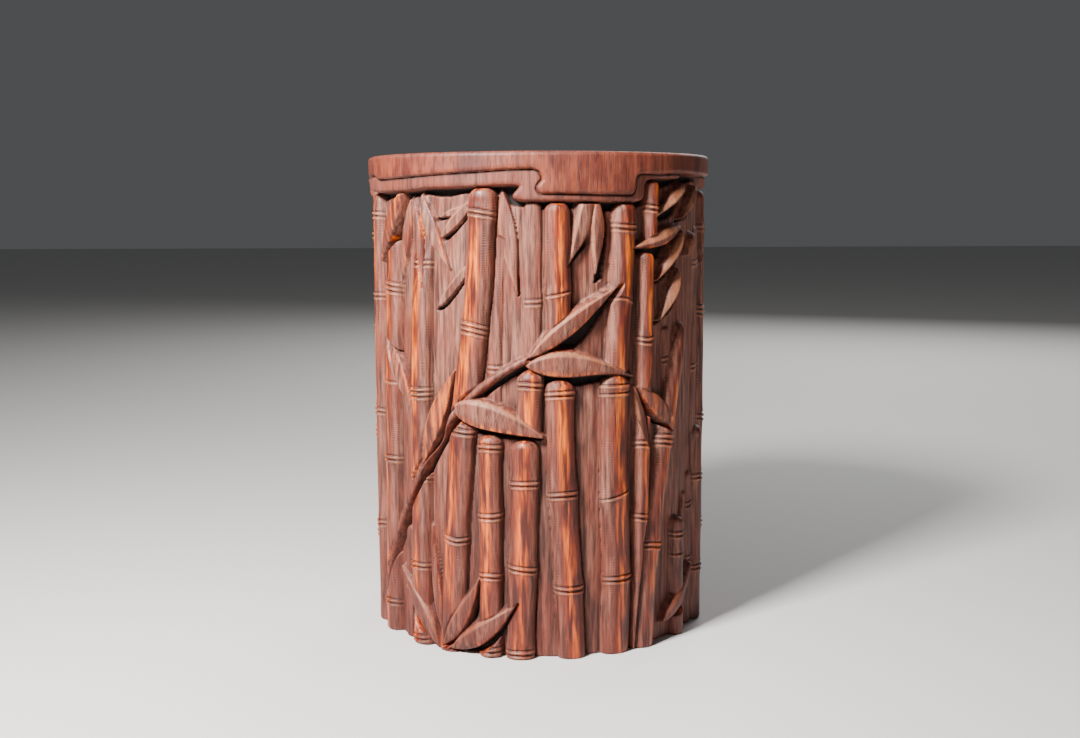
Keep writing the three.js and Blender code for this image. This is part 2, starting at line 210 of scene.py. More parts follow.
LEAVES = [
    Leaf((-48.5, 136.5), (-54.5, 111), 3.0, 0.3, gap=0.5, level=-1.3, ramp=4.0),
    Leaf((-46.5, 136.5), (-41.8, 110), 3.0, 0.2, gap=0.5, level=-1.2, ramp=4.0, worn=0.5),
    Leaf((-42.5, 138), (-30.7, 116), 4.4, -0.9, gap=0.4, level=-1.1, ramp=4.0),
    Leaf((-52, 139), (-69, 117.5), 4.8, 0.9, gap=3.4, level=0.2, worn=0.8),
    Leaf((16, 138), (8.8, 117.2), 5.4, 0.9, gap=2.3, level=-0.7, belly=0.3),
    Leaf((18.6, 137), (18.4, 115), 4.0, 0.2, gap=2.6, level=-0.7, blunt=True),
    sliver((65, 140.5), (55, 130.5), 2.0, 0.3, level=0.3, rise=3.0),
    sliver((56, 141), (40.5, 131), 2.8, -0.2, level=0.3, rise=2.6),
    Leaf((54, 128.3), (31.5, 122.3), 4.2, 0.5, gap=2.2, level=0.2, recess=4.0,
         belly=0.45, rise=1.4, ramp=7.0, ridge=0.1),
    sliver((55.5, 127), (41.5, 112.3), 2.8, 0.4, level=0.3, rise=2.6),
    sliver((53.5, 115.5), (43, 100.3), 3.2, 0.4, level=0.2, rise=2.4),
    Leaf((66, 126), (61, 119), 2.4, 0.2, gap=1.2, level=-0.2, recess=2.0),
    Leaf((-85, 97), (-79.5, 81), 3.6, 0.4, gap=1.3, level=-0.9),
    Leaf((-63, 94.5), (-48.3, 72.2), 4.8, 1.0, gap=0.8, level=-0.4, belly=0.5),
    Leaf((-43, 56), (-28.9, 86.3), 5.6, 0.7, gap=1.8, level=-0.7, belly=0.5, worn=0.7),
    Leaf((33, 81), (40, 59.5), 3.0, -0.3, gap=0.6, level=-1.0),
    Leaf((34.5, 80.5), (50.5, 66), 5.2, 0.7, gap=1.6, level=-0.1, belly=0.45, worn=0.5),
    Leaf((-3.5, 90.5), (26.5, 111.7), 4.9, 0.4, gap=4.0, level=0.1, belly=0.4, ramp=2.4),
    Leaf((-4.5, 88.3), (31.8, 84.2), 7.2, 2.0, gap=0.6, level=0.2, recess=3.3,
         belly=0.32, taper=1.5, ramp=6.0),
    Leaf((-28.5, 75.2), (1.0, 67.1), 8.0, 1.2, gap=0.6, level=0.2, recess=2.0, belly=0.32, taper=0.85),
    Leaf((-35, 5), (-39.5, 38), 2.8, 0.4, gap=0.5, level=-0.9),
    Leaf((-36.5, 0.5), (-56, 22.5), 5.6, -1.4, gap=1.0, level=-0.3),
    Leaf((-34, 1.5), (-20.4, 24), 4.8, -0.9, gap=1.6, level=-0.2),
    Leaf((-31, 1), (-7.4, 17.2), 6.0, -1.2, gap=1.8),
    Leaf((46, 6), (66.5, 20.5), 4.6, -0.8, gap=1.4),
    Leaf((122, 97), (107, 113), 4.6, -0.8, gap=1.4),
    Leaf((124, 96), (140, 80), 5.2, 0.9, gap=1.8),
    Leaf((161, 96), (142, 117), 5.6, -1.2, gap=2.0),
    Leaf((166, 95), (136, 89), 7.0, 1.4, gap=2.4, taper=1.0),
    Leaf((186, 74.5), (165, 61), 5.6, 0.9, gap=1.8),
    Leaf((194, 68), (208.5, 85), 5.4, -0.8, gap=1.8),
    Leaf((178, 139), (165, 115), 5.0, 0.8, gap=1.4),
    Leaf((180, 139), (195, 111), 5.8, -0.8, gap=1.6),
    Leaf((224, 139), (207, 117), 5.4, 0.9, gap=1.6),
    Leaf((226, 139), (238, 107), 5.4, -0.6, gap=1.4),
    Leaf((225, 138), (221.5, 114), 3.6, 0.2, gap=0.9, level=-0.7),
    Leaf((97, 139), (83, 116), 5.4, 0.9, gap=1.6),
    Leaf((99, 139), (113, 121), 4.6, -0.6, gap=1.4),
    Leaf((126, 0.5), (112, 27), 5.8, -1.0, gap=1.4),
    Leaf((129, 0.5), (148, 20.5), 5.8, -1.0, gap=1.7),
    Leaf((245, 1.5), (232, 28), 5.2, -0.9, gap=1.4),
    Leaf((248, 0.5), (265, 24), 6.2, -1.1, gap=1.7),
]


def smoothstep(low, high, value):
    share = np.clip((value - low) / (high - low), 0, 1)
    return share * share * (3 - 2 * share)


def arc(degrees):
    """Distance round the wall, at the radius where the carving is laid out."""
    return np.radians(degrees) * LAYOUT_RADIUS


def quarter_round(share):
    """Rises from 0 to 1 like a quarter of an ellipse."""
    return np.sqrt(1 - (1 - np.clip(share, 0, 1)) ** 2)


class Relief:
    """The outside of the wall, as radii over height and angle, with marks for its finish."""

    def __init__(self):
        self.angles = np.linspace(-180, 180, COLUMNS, endpoint=False)
        rows = int(round((HEIGHT - LIP_EASE) / ROW_STEP))
        self.heights = np.linspace(0, HEIGHT - LIP_EASE, rows + 1)
        self.shape = (rows + 1, COLUMNS)
        self.random = np.random.default_rng(SEED)
        self.radius = np.full(self.shape, GROUND_LEVEL)
        # Rubbed wood, and on the stalks' strips also a painted highlight
        self.polish_and_highlight = np.zeros(self.shape)
        self.matte = np.ones(self.shape)
        self.chatter = np.full(self.shape, 0.1)
        # Where painted shade goes: the rings' cuts and the line under the band's hem
        self.groove_shade = np.zeros(self.shape)
        # Painted highlights: the rings' lips and the leaves' lit edges
        self.painted_highlight = np.zeros(self.shape)
        self.grain = np.ones(self.shape)
        self.along = np.repeat(self.heights[:, None], COLUMNS, 1)
        # Where shade is painted: near black in deep cuts, darker in recesses, grooves and the bore
        self.painted_shade = np.zeros(self.shape)
        self.hem = np.full(COLUMNS, HEIGHT)

    def spectrum(self, spread_round, spread_up, rows):
        """How much of each frequency is left after a blur by those spreads."""
        round_frequency = np.fft.rfftfreq(COLUMNS, arc(360) / COLUMNS)[None, :]
        up_frequency = np.fft.fftfreq(rows, self.heights[1])[:, None]
        power = (round_frequency * spread_round) ** 2 + (up_frequency * spread_up) ** 2
        return np.exp(-2 * math.pi**2 * power)

    def noise(self, spread_round, spread_up):
        """Smooth noise with no seam round the pot, with features of those sizes."""
        rows = self.shape[0]
        white = self.random.standard_normal((2 * rows, COLUMNS))
        spectrum = self.spectrum(spread_round, spread_up, 2 * rows)
        smooth = np.fft.irfft2(np.fft.rfft2(white) * spectrum, white.shape)
        return (smooth / smooth.std())[:rows]

    def blurred(self, field, spread):
        edge = int(4 * spread / ROW_STEP) + 2
        padded = np.pad(field, ((edge, edge), (0, 0)), mode="edge")
        spectrum = self.spectrum(spread, spread, padded.shape[0])
        return np.fft.irfft2(np.fft.rfft2(padded) * spectrum, padded.shape)[edge:-edge]

    def window(self, low_angle, high_angle, low, high):
        """The cells between those angles and heights: their index, their angles and their heights."""
        offset = (self.angles - low_angle) % 360
        columns = np.nonzero(offset <= high_angle - low_angle)[0]
        rows = np.nonzero((self.heights >= low) & (self.heights <= high))[0]
        return np.ix_(rows, columns), (low_angle + offset[columns])[None, :], self.heights[rows][:, None]

    def around(self, points, margin):
        """The cells within a margin of some points, each an angle and a height."""
        angles = [angle for angle, _ in points]
        heights = [height for _, height in points]
        return self.window(
            min(angles) - margin, max(angles) + margin, min(heights) - margin, max(heights) + margin
        )

    def hem_above(self, angle):
        """The height of the lowest hem over an angle."""
        return np.interp((angle + 180) % 360 - 180, self.angles, self.hem)

    def cut(self, cells, distance, reach, shoulder, floor):
        """Cuts down to the floor as far out as the reach, with a round shoulder beyond it."""
        rise = (distance - reach) / shoulder
        ceiling = floor + (RIM_RADIUS - 0.8 - floor) * quarter_round(rise)
        below = self.radius[cells]
        self.radius[cells] = np.where(rise > 1, below, np.minimum(below, ceiling))

    def lay(self, cells, distance, surface, drop=None, **marks):
        """Lays a member over the wall. Distance is from its outline, negative inside, and drop is
        how far its flank has fallen at each cell. It falls steeply where no drop is given, and
        else its marks stop at its outline."""
        below = self.radius[cells]
        flank = surface - (WALL_SLOPE * np.maximum(distance, 0) if drop is None else drop)
        inside = distance < 0
        mine = inside | ((flank > below) & (drop is None))
        self.radius[cells] = np.where(inside, surface, np.maximum(below, flank))
        for name, value in ({"groove_shade": 0.0, "painted_highlight": 0.0, "grain": 1.0} | marks).items():
            field = getattr(self, name)
            field[cells] = np.where(mine, value, field[cells])


def carve_background(relief):
    """Faint upright flutes in the ground, as left by a flat gouge."""
    cells, angle, height = relief.window(-180, 180, 0, HEIGHT)
    drift = relief.noise(14, 60)
    flutes = np.abs(np.sin(np.radians(angle) * 27 + 0.9 * drift + height * 0.006))
    fine = np.abs(np.sin(np.radians(angle) * 64 + 1.6 * drift))
    relief.radius += 0.30 * flutes**0.7 + 0.10 * fine - 0.3
    relief.polish_and_highlight[:] = 0.15 * flutes


def route_at(route, height):
    """The angle of an upright route at each height, eased at its points."""
    angles = [angle for angle, _ in route]
    heights = [level for _, level in route]
    ease = 4.0
    samples = [np.interp(height + shift, heights, angles) for shift in np.linspace(-ease, ease, 9)]
    return np.mean(samples, axis=0)


def cut_rings(height, x, stalk, lean):
    """The rings cut round a stalk's nodes, and how much the nodes swell. Each cut is steep above
    and shallow below, with a lip under it that catches the light."""
    rings = np.zeros(np.broadcast(height, x).shape)
    swell = np.zeros_like(rings)
    pitch, depth, lip = 1.5, 0.95, 0.50
    for level, count, *bend in stalk.nodes:
        tilt = bend[0] if bend else -lean + 0.05 * math.sin(level * 1.7 + stalk.width)
        curve = bend[1] if len(bend) > 1 else 0.22 * math.cos(level * 2.3) / stalk.width**2
        local = height - level - tilt * x - curve * x * x
        for ring in range(count):
            drop = ((count - 1) / 2 - ring) * pitch - local
            rings -= depth * smoothstep(-0.16, 0.14, drop) * np.exp(-np.maximum(drop, 0) / 0.40)
            rings += lip * np.exp(-(((drop - 0.80) / 0.32) ** 2))
        swell += np.exp(-((local / 2.2) ** 2))
    return rings, swell


def stalk_finish(stalk, across, angle, rings):
    """The marks of a stalk: matte flanks and a polished strip, set away from the pot's front. The strip's
    amber is partly a painted highlight.
    """
    # The strip's place and width shift with the angle round the pot, like a highlight: partly a painted
    # highlight
    strip_place = 0.2 * np.clip(angle / 20, -1, 1)
    strip_width = 0.4 - 0.7 * min(strip_place, 0)
    off_strip = across - strip_place
    left_flank = smoothstep(-0.35, -0.8, off_strip)
    right_flank = smoothstep(0.3, 0.8, off_strip)
    flanks = left_flank + right_flank * (0.9 if strip_place < 0 else 0.3)
    return {
        "polish_and_highlight": np.exp(-((off_strip / strip_width) ** 2)) * (0.4 if stalk.low else 1.0),
        "matte": np.maximum(flanks, 0.7 if stalk.low else 0.05),
        "chatter": 0.1 + 0.9 * (left_flank if strip_place > 0 else right_flank),
        # Painted shade in the rings' cuts, and a painted highlight on their lips
        "groove_shade": np.clip(-1.3 * rings, 0, 1),
        "painted_highlight": np.clip(2.2 * rings, 0, 1),
    }


def carve_stalk(relief, stalk):
    angles = [angle for angle, _ in stalk.route]
    bottom, route_end = stalk.route[0][1], stalk.route[-1][1]
    top = min(route_end, relief.hem_above(angles[-1]) - 0.2)
    beside, beyond = 8, 4
    cells, angle, height = relief.window(
        min(angles) - beside, max(angles) + beside, bottom - beyond, top + beyond
    )
    x = arc(angle - route_at(stalk.route, height))
    lean = arc(angles[-1] - angles[0]) / (route_end - bottom)
    rings, swell = cut_rings(height, x, stalk, lean)
    rise = LOW_RISE if stalk.low else STALK_RISE
    head = quarter_round((top - height) / (stalk.head * stalk.width))
    if bottom > 0 and stalk.low:
        head = head * quarter_round((height - bottom) / stalk.width)
    width = stalk.width * (1 + 0.02 * np.sin(height * 0.21 + stalk.width * 5)) + 0.28 * swell
    width = np.maximum(width * head, 0.01)
    across = x / width
    profile = np.sqrt(np.clip(1 - np.abs(across) ** 2.2, 0, 1))
    cut_share = 0.55 if stalk.low else 1.0
    sink = smoothstep(top, top - stalk.fade, height)
    bulge = rise * profile * sink + cut_share * (rings + 0.25 * swell) * profile**0.5
    surface = STALK_SEAT + bulge * head**0.6
    distance = np.maximum(np.abs(x) - width, np.maximum(height - top, bottom - height))
    scale = 0.4 if stalk.low else 1.0
    relief.cut(cells, distance, scale * np.where(x > 0, 0.5, 0.1), 1.0, GROUND_LEVEL - 0.9 * scale)
    finish = stalk_finish(stalk, across, np.mean(angles), rings)
    relief.lay(cells, distance, surface, along=height - 0.1 * x, **finish)


def shaded_side(direction):
    """+1 if the side to the left of a direction is away from the light, else -1."""
    left_normal = np.array([-direction[1], direction[0]])
    return 1.0 if left_normal @ SHADED > 0 else -1.0


@dataclass
class LeafField:
    """A leaf laid out on the wall: at each cell, the share of its length, how full it is there, the
    distance from its outline, and the way across, from -1 at its lit edge to 1 at its shaded one."""

    cells: tuple
    share: np.ndarray
    fullness: np.ndarray
    distance: np.ndarray
    across: np.ndarray
    length: float


def lay_out(relief, leaf):
    base = np.array([arc(leaf.base[0]), leaf.base[1]])
    tip = np.array([arc(leaf.tip[0]), leaf.tip[1]])
    length = float(np.hypot(*(tip - base)))
    forward = (tip - base) / length
    cells, angle, height = relief.around((leaf.base, leaf.tip), margin=10)
    right, up = arc(angle) - base[0], height - base[1]
    share = (right * forward[0] + up * forward[1]) / length
    held = np.clip(share, 0, 1)
    side = up * forward[0] - right * forward[1] - leaf.bow * 4 * held * (1 - held)
    widest_first = math.log(0.5) / math.log(leaf.belly)
    fullness = np.clip(np.sin(math.pi * held**widest_first), 0, 1) ** leaf.taper
    half = 0.5 * leaf.width * fullness + 0.1
    beyond = length * np.maximum(share - 1, -share)
    distance = np.where(beyond > 0, np.hypot(np.maximum(beyond, 0), side), np.abs(side) - half)
    return LeafField(cells, share, fullness, distance, shaded_side(forward) * side / half, length)


def carve_recess(relief, leaf):
    """The deep cut in the ground under a leaf's shaded edge, which the stalks' heads stand in."""
    field = lay_out(relief, leaf)
    reach = np.where(field.across > 0, leaf.recess * (0.3 + 0.7 * field.fullness**0.6), -10)
    relief.cut(field.cells, field.distance, reach, 0.7, DEEP_LEVEL)


def carve_leaf(relief, leaf):
    field = lay_out(relief, leaf)
    level = LEAF_LEVEL + leaf.level + 0.25 * field.fullness
    shaded = field.across > 0
    gap = leaf.gap * (0.3 + 0.7 * field.share if leaf.blunt else 0.1 + 0.9 * field.fullness**0.6)
    relief.cut(
        field.cells, field.distance, np.where(shaded, gap, 0.0), np.where(shaded, 0.6, 0.9),
        np.where(shaded, DEEP_LEVEL, level - 0.3),
    )
    lit_bevel = np.clip((leaf.ridge - field.across) / (1 + leaf.ridge), 0, 1)
    shaded_face = np.clip((field.across - leaf.ridge) / (1 - leaf.ridge), 0, 1)
    roof = 1 - lit_bevel**1.2 - 0.85 * shaded_face**1.6
    rise = leaf.rise * min(1.0, leaf.width / 5) * field.fullness
    away = np.maximum(field.distance, 0)
    height = level - GROUND_LEVEL + 0.2
    lit_ramp = height * (1 - np.exp(-leaf.ramp * away / height)) + 0.5 * away**2
    under = smoothstep(0.25, 0.95, field.across) * min(1.0, leaf.rise)
    # A painted highlight along the lit edge of the leaf
    lit_edge = smoothstep(leaf.ridge + 0.15, leaf.ridge - 0.15, field.across) * (field.distance < 0)
    relief.lay(
        field.cells, field.distance, level + rise * roof,
        drop=np.where(shaded, WALL_SLOPE * away, lit_ramp),
        polish_and_highlight=0.15 + np.maximum(0.6 * under, 0.85 * leaf.worn),
        matte=1 - np.maximum(0.8 * under, leaf.worn),
        chatter=0.2 + 0.8 * smoothstep(-0.6, 0.0, field.across) * (1 - 0.5 * under),
        along=field.share * field.length,
        painted_highlight=0.8 * lit_edge,
    )


def eased_line(points):
    """Points every 2 mm along a line with its corners eased."""
    step, ease = 2.0, 6.0
    travelled = np.concatenate([[0], np.cumsum(np.hypot(*np.diff(points, axis=0).T))])
    stops = np.arange(0, travelled[-1] + step, step)
    to_an_end = np.minimum(stops, travelled[-1] - stops)
    shifts = np.linspace(-ease, ease, 9) * np.clip(to_an_end / ease, 0, 1)[:, None]
    places = stops[:, None] + shifts
    return np.stack([np.interp(places, travelled, line).mean(axis=1) for line in points.T], axis=1)


def beside_line(right, height, points):
    """At each cell, the distance from a line, how far along the line it is nearest, how far it
    lies to the line's shaded side, and the line's length."""
    nearest = np.full(np.broadcast(right, height).shape, np.inf)
    travelled = np.zeros_like(nearest)
    side = np.zeros_like(nearest)
    start = 0.0
    for here, there in zip(points[:-1], points[1:], strict=True):
        length = float(np.hypot(*(there - here)))
        forward = (there - here) / length
        along = ((right - here[0]) * forward[0] + (height - here[1]) * forward[1]) / length
        share = np.clip(along, 0, 1)
        off_right = right - here[0] - share * length * forward[0]
        off_up = height - here[1] - share * length * forward[1]
        away = np.hypot(off_right, off_up)
        closer = away < nearest
        nearest = np.where(closer, away, nearest)
        travelled = np.where(closer, start + share * length, travelled)
        side = np.where(closer, off_right * SHADED[0] + off_up * SHADED[1], side)
        start += length
    return nearest, travelled, side, start


def carve_twig(relief, route):
    cells, angle, height = relief.around(route, margin=7)
    points = eased_line(np.array([(arc(place), level) for place, level in route]))
    nearest, travelled, side, length = beside_line(arc(angle), height, points)
    grown = smoothstep(0, 0.45, travelled / length)
    half = 0.75 + 0.3 * grown
    shaded = side > 0
    relief.cut(
        cells, nearest - half, np.where(shaded, 0.3 + 1.4 * grown, 0.1), np.where(shaded, 0.9, 1.6),
        np.where(shaded, DEEP_LEVEL + 0.6 * (1 - grown), LEAF_LEVEL - 1.0),
    )
    bulge = 1.3 * np.sqrt(np.clip(1 - (nearest / half) ** 2, 0, 1))
    relief.lay(
        cells, nearest - half, LEAF_LEVEL - 0.5 + bulge,
        polish_and_highlight=0.35,
        matte=0.6 + 0.3 * smoothstep(0.2, -0.6, side),
        chatter=0.3,
        along=travelled,
    )


def bend(start, corner, end, steps=5):
    """Points of a rounded corner, without its start."""
    shares = np.linspace(0, 1, steps + 1)[1:]
    start, corner, end = (np.array(point, float) for point in (start, corner, end))
    return [tuple((1 - s) ** 2 * start + 2 * s * (1 - s) * corner + s * s * end) for s in shares]


# Hems run from left to right as (degrees from the middle of a tab, drop below the rim)
TABS = (15, 135, 255)
BAND_LEFT = [(-81, 7.2), (-65, 6.9), (-50.5, 6.2), (-35, 5.6), (-24.5, 5.0)]
BAND_RIGHT = [(27, 6.1), (34, 5.8)]
APRON_LEFT = [
    (-95.5, 9.2), (-93, 10.6), (-87, 11), (-73, 11), (-62, 10.8), (-55, 10.2), (-40, 10), (-24, 9.5),
]
APRON_RIGHT = [(37, 7.5), (39.5, 5.5), (42, 4.4)]
APRON_START = (-60, 4.4)


def band_tab():
    """The band's tab, with a hooked left shoulder."""
    points = [(-17.2, 4.9)]
    points += bend(points[-1], (-14.1, 5.2), (-14.0, 8.2))
    points += bend(points[-1], (-17.2, 10.6), (-14.6, 11.85))
    points += bend(points[-1], (0, 11.9), (14.2, 12.2))
    points += bend(points[-1], (16.5, 12.3), (16.3, 9))
    points += bend(points[-1], (16.2, 6.1), (19.5, 6))
    return points


def apron_tab():
    """The apron's tab, which shows under the band's as a ribbon."""
    points = [(-21.2, 9.9)]
    points += bend(points[-1], (-22.0, 11.2), (-23.0, 12.0))
    points += bend(points[-1], (-24.6, 13.7), (-19.8, 14.0))
    points += bend(points[-1], (0, 14.2), (17.5, 14.4))
    points += bend(points[-1], (20.9, 14.1), (20.6, 11))
    points += bend(points[-1], (20.2, 7.9), (23.5, 7.8))
    return points


def left_part(points, tab):
    """A hem's points to the left of a tab. Only the front tab's run far that way."""
    return points if tab == TABS[0] else [point for point in points if point[0] > APRON_START[0]]


def band_hem(tab):
    return left_part(BAND_LEFT, tab) + band_tab() + BAND_RIGHT


def apron_hem(tab):
    """The last tab's apron stops where the front one's begins."""
    start = [] if tab == TABS[0] else [APRON_START]
    end = [] if tab == TABS[-1] else APRON_RIGHT
    return start + left_part(APRON_LEFT, tab) + apron_tab() + end


def hem_line(hem):
    """A hem all round the pot, from one turn before the front to one turn after it."""
    line = [(tab + angle, HEIGHT - drop) for tab in TABS for angle, drop in hem(tab)]
    return [(angle - 360 * wrap, height) for wrap in (1, 0, -1) for angle, height in line]


def above_line(angle, height, line):
    """Distance from a line on the wall, positive above it."""
    right = arc(angle)
    nearest = np.full(np.broadcast(right, height).shape, np.inf)
    crossings = np.zeros(nearest.shape, int)
    points = [(arc(a), h) for a, h in line]
    for (ax, ay), (bx, by) in zip(points[:-1], points[1:], strict=True):
        along_x, along_y = bx - ax, by - ay
        length_squared = along_x**2 + along_y**2 + 1e-12
        share = np.clip(((right - ax) * along_x + (height - ay) * along_y) / length_squared, 0, 1)
        away = np.hypot(right - ax - share * along_x, height - ay - share * along_y)
        nearest = np.minimum(nearest, away)
        if ax != bx:
            spans = (right >= min(ax, bx)) & (right < max(ax, bx))
            crossings += spans & (ay + (right - ax) / along_x * along_y > height)
    return np.where(crossings % 2 == 0, nearest, -nearest)


class Drapery:
    """The band and the apron under it, as distances above their hems."""

    def __init__(self, relief):
        self.cells, self.angle, self.height = relief.window(-180, 180, HEIGHT - 26, HEIGHT)
        self.band = above_line(self.angle, self.height, hem_line(band_hem))
        self.apron = above_line(self.angle, self.height, hem_line(apron_hem))
        covered = np.maximum(self.band, self.apron) > 0
        relief.hem = self.height[np.argmax(covered, axis=0), 0]

    def recess(self, relief):
        """The deep cut in the ground under the hems."""
        outside = -np.maximum(self.band, self.apron)
        relief.cut(self.cells, outside, 2.3 + 0.5 * np.sin(np.radians(self.angle) * 19), 0.8, DEEP_LEVEL)

    def lay(self, relief):
        """Lays the apron and then the band. At the far left the apron comes forward, level with
        the band, and elsewhere a dark line runs under the band's hem, cut in and painted with shade."""
        wave = 0.12 * relief.noise(9, 30)[self.cells]
        merged = smoothstep(-62, -71, self.angle) * (self.angle > -84)
        top = APRON_LEVEL + merged * (BAND_LEVEL - APRON_LEVEL - 0.1)
        soft_edge = quarter_round(np.maximum(self.apron, 0) / 1.3)
        relief.cut(self.cells, -self.apron, 0.45, 1.2, DEEP_LEVEL)
        relief.lay(
            self.cells, -self.apron, top - 0.7 + 0.7 * soft_edge + wave,
            polish_and_highlight=0.2 + 0.25 * np.exp(-((self.apron / 0.8) ** 2)), matte=0.75, chatter=0.1, grain=0.55,
        )
        soft_edge = quarter_round(np.maximum(self.band, 0) / 1.3)
        relief.cut(self.cells, -self.band, 0.3, 0.5, APRON_LEVEL - 1.5)
        # Painted shade along the line under the band's hem
        hem_shade_line = smoothstep(1.1, 0.6, -self.band) * (1 - merged)
        relief.groove_shade[self.cells] = np.maximum(relief.groove_shade[self.cells], hem_shade_line)
        relief.lay(
            self.cells, -self.band, BAND_LEVEL - 0.75 + 0.65 * soft_edge + 0.5 * wave,
            polish_and_highlight=0.5 + 0.3 * np.exp(-((self.band / 0.9) ** 2)), matte=0.4, chatter=0.05, grain=0.25,
        )


def finish_surface(relief):
    """Slight unevenness from the knife, and a worn, eased foot."""
    unevenness = 0.05 * relief.noise(2.2, 5) + 0.03 * relief.noise(0.6, 9)
    unevenness += 0.05 * relief.noise(9, 14)
    relief.radius += unevenness
    relief.radius = relief.blurred(relief.radius, 0.11)
    ease = 0.9
    foot = 1 - quarter_round(relief.heights / ease)
    relief.radius -= 0.55 * foot[:, None]
    relief.radius = np.minimum(relief.radius, RIM_RADIUS - 0.01)


def mark_painted_shade(relief):
    """Marks where shade is painted: deep under the ground, well below its surroundings, and in grooves.
    """
    broad = relief.radius - relief.blurred(relief.radius, 3.0)
    sunk = smoothstep(GROUND_LEVEL - 0.35, GROUND_LEVEL - 1.0, relief.radius)
    cut_in = np.maximum(sunk, 0.8 * relief.groove_shade)
    # Painted shade from the depth and the grooves, and softer painted shade where the wall lies below its
    # surroundings
    relief.painted_shade = np.maximum(0.6 * smoothstep(-0.6, -2.0, broad), cut_in)


def carve():
    relief = Relief()
    drapery = Drapery(relief)
    carve_background(relief)
    drapery.recess(relief)
    for leaf in LEAVES:
        if leaf.recess > 0:
            carve_recess(relief, leaf)
    for leaf in FLUSH_LEAVES:
        carve_leaf(relief, leaf)
    for stalk in LOW_STALKS + STALKS:
        carve_stalk(relief, stalk)
    for route in TWIGS:
        carve_twig(relief, route)
    for leaf in LEAVES:
        carve_leaf(relief, leaf)
    drapery.lay(relief)
    finish_surface(relief)
    mark_painted_shade(relief)
    return relief


def inner_rings(relief):
    """The lip, bore, shoulder, rebate and foot that close the wall: rows of radii and of heights."""
    rim = relief.radius[-1]
    outer = rim - LIP_EASE
    inner = BORE_RADIUS + MOUTH_EASE
    rings = []
    for turn in EASE_TURNS:
        eased = LIP_EASE * (1 - math.cos(turn))
        rings.append((rim - eased, HEIGHT - LIP_EASE + LIP_EASE * math.sin(turn)))
    for share in (0.25, 0.5, 0.75, 1.0):
        crest = LIP_DIP * (1 - (2 * share - 1) ** 2)
        rings.append((outer + (inner - outer) * share, HEIGHT - LIP_DIP + crest))
    for turn in EASE_TURNS:
        eased = MOUTH_EASE * (1 - math.cos(turn))
        rings.append((inner - MOUTH_EASE * math.sin(turn), HEIGHT - LIP_DIP - eased))
    scrapes = relief.noise(6, 3)
    step, depth, fade = 1.5, 0.07, 8
    for height in np.arange(BORE_TOP - step, SHOULDER_HEIGHT + 1, -step):
        row = int(height / HEIGHT * (relief.shape[0] - 1))
        share = float(smoothstep(0, fade, BORE_TOP - height))
        rings.append((BORE_RADIUS + depth * share * scrapes[row], height))
    foot = REBATE_RADIUS + 0.4
    rings += [
        (BORE_RADIUS, SHOULDER_HEIGHT + 0.3),
        (BORE_RADIUS + 0.3, SHOULDER_HEIGHT),
        (REBATE_RADIUS - 0.05, SHOULDER_HEIGHT),
        (REBATE_RADIUS, SHOULDER_HEIGHT - 0.05),
        (REBATE_RADIUS, 5.0),
        (REBATE_RADIUS, 0.4),
        (foot, 0.0),
        (0.5 * (relief.radius[0] + foot), 0.0),
    ]
    flat = np.ones(COLUMNS)
    radii = np.array([flat * radius for radius, _ in rings])
    return radii, np.array([flat * height for _, height in rings])


def bake_corners(outer_rows, total_rows):
    """An unwrap with no overlaps: the outside in three upright strips, the inside in a fourth."""
    margin = 0.006
    row = np.arange(total_rows)[:, None] + np.array([0, 0, 1, 1])[None, :]
    column = np.arange(COLUMNS)[:, None] + np.array([0, 1, 1, 0])[None, :]
    third = COLUMNS // 3
    strip = np.arange(COLUMNS) // third
    outside = np.arange(total_rows) < outer_rows
    up = np.where(outside[:, None], row / outer_rows, (row - outer_rows) / (total_rows - outer_rows))
    across_outside = (column - (strip * third)[:, None]) / third
    across_inside = column / COLUMNS
    cell_right = np.where(outside[:, None], (strip % 2)[None, :], 1)
    cell_up = np.where(outside[:, None], (strip // 2)[None, :], 1)
    across = np.where(outside[:, None, None], across_outside[None], across_inside[None])
    scale = 0.5 - 2 * margin
    u = 0.5 * cell_right[..., None] + margin + scale * up[:, None, :]
    v = 0.5 * cell_up[..., None] + margin + scale * across
    return np.stack([u, v], axis=-1).reshape(-1, 2)


def add_object(name, data):
    made = bpy.data.objects.new(name, data)
    bpy.context.scene.collection.objects.link(made)
    return made


def quad_piece(name, points, quads):
    mesh = bpy.data.meshes.new(name)
    mesh.vertices.add(len(points))
    mesh.vertices.foreach_set("co", np.ascontiguousarray(points, np.float32).ravel())
    mesh.loops.add(quads.size)
    mesh.loops.foreach_set("vertex_index", quads.astype(np.int32).ravel())
    mesh.polygons.add(len(quads))
    mesh.polygons.foreach_set("loop_start", np.arange(0, quads.size, 4, dtype=np.int32))
    mesh.polygons.foreach_set("use_smooth", np.ones(len(quads), bool))
    mesh.update()
    mesh.validate()
    return add_object(name, mesh)


def add_mark(piece, name, values):
    attribute = piece.data.attributes.new(name, "FLOAT", "POINT")
    attribute.data.foreach_set("value", np.ascontiguousarray(values, np.float32).ravel())


def wall_quads(rows):
    """Quads between each row of points and the next, and from the last row back to the first."""
    row = np.arange(rows)[:, None]
    column = np.arange(COLUMNS)[None, :]
    next_row, next_column = (row + 1) % rows, (column + 1) % COLUMNS
    corners = [row * COLUMNS + column, row * COLUMNS + next_column,
               next_row * COLUMNS + next_column, next_row * COLUMNS + column]
    return np.stack(corners, axis=-1).reshape(-1, 4)


